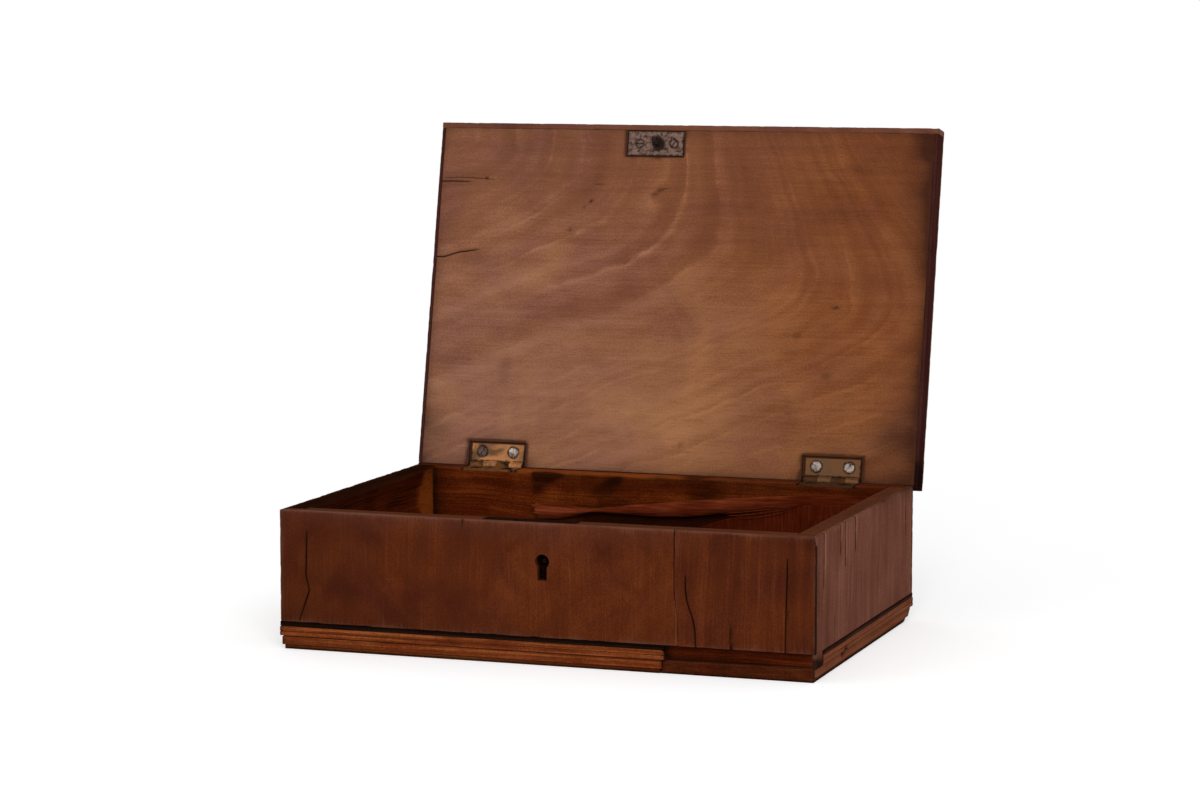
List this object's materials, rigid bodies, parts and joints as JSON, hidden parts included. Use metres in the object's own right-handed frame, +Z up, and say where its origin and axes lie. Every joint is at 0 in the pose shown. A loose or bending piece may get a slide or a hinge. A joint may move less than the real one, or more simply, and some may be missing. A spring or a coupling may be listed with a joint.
{
  "type": "ditty box",
  "caption": "Small veneered wooden keepsake box, lid hinged at the back on brass butts, link lock in the front wall, torn cloth lining inside.",
  "frame": {"origin": "centre of the body's base, on the surface it stands on", "axes": "+X to the right along the front, +Y from the front to the hinged back, +Z up"},
  "size_m": [0.264, 0.2236, 0.2395],
  "materials": {
    "wall_board": "bare, aged, dry",
    "bottom_board": "bare, aged, dry",
    "front_veneer": "old worn polish, satin",
    "side_veneer": "faded old polish, matt",
    "lid_veneer": "old worn polish, satin",
    "dark_stringing": "ebonised, matt",
    "base_moulding": "bare, straight grained",
    "lid_lipping": "old polish, matt",
    "lid_board": "bare, smooth, aged",
    "hinge_brass": "aged, dull",
    "screw_steel": "worn, with rust",
    "link_plate_steel": "tinned, spotted with rust",
    "lock_brass": "aged, dull",
    "lock_iron": "dark, rusted",
    "lining_cloth": "thin plain-woven silk, torn and frayed"
  },
  "bodies": {
    "body": {"bottom_board": "bottom_board", "front_wall": "wall_board", "back_wall": "wall_board", "left_wall": "wall_board", "right_wall": "wall_board", "front_veneer_main": "front_veneer", "front_veneer_end": "front_veneer", "back_veneer": "front_veneer", "left_veneer": "side_veneer", "right_veneer": "side_veneer", "front_stringing": "dark_stringing", "back_stringing": "dark_stringing", "left_stringing": "dark_stringing", "right_stringing": "dark_stringing", "front_upper_strip": "base_moulding", "back_upper_strip": "base_moulding", "left_upper_strip": "base_moulding", "right_upper_strip": "base_moulding", "front_lower_strip": "base_moulding", "back_lower_strip": "base_moulding", "left_lower_strip": "base_moulding", "right_lower_strip": "base_moulding", "left_hinge_body_leaf": "hinge_brass", "right_hinge_body_leaf": "hinge_brass", "left_hinge_pin": "screw_steel", "right_hinge_pin": "screw_steel", "hinge_body_screws": "screw_steel", "lock_plate": "lock_iron", "lock_case": "lock_iron", "lock_spring": "lock_iron", "key_pin": "lock_iron", "bolt_guide_pin": "lock_iron", "lock_screws": "screw_steel", "torn_lining": "lining_cloth"},
    "lid": {"lid_board": "lid_board", "lid_veneer": "lid_veneer", "lid_front_lipping": "lid_lipping", "lid_back_lipping": "lid_lipping", "lid_left_lipping": "lid_lipping", "lid_right_lipping": "lid_lipping", "left_hinge_lid_leaf": "hinge_brass", "right_hinge_lid_leaf": "hinge_brass", "hinge_lid_screws": "screw_steel", "link_plate": "link_plate_steel", "link_plate_screws": "screw_steel"},
    "bolt": {"lock_bolt": "lock_brass"}
  },
  "joints": [
    {"name": "lid_hinge", "type": "hinge", "parent": "body", "child": "lid", "pos_m": [0, 0.088, 0.06615], "axis": [1, 0, 0], "range_deg": [0, 102]},
    {"name": "bolt_slide", "type": "slide", "parent": "body", "child": "bolt", "axis": [-1, 0, 0], "range_m": [0, 0.006]}
  ]
}
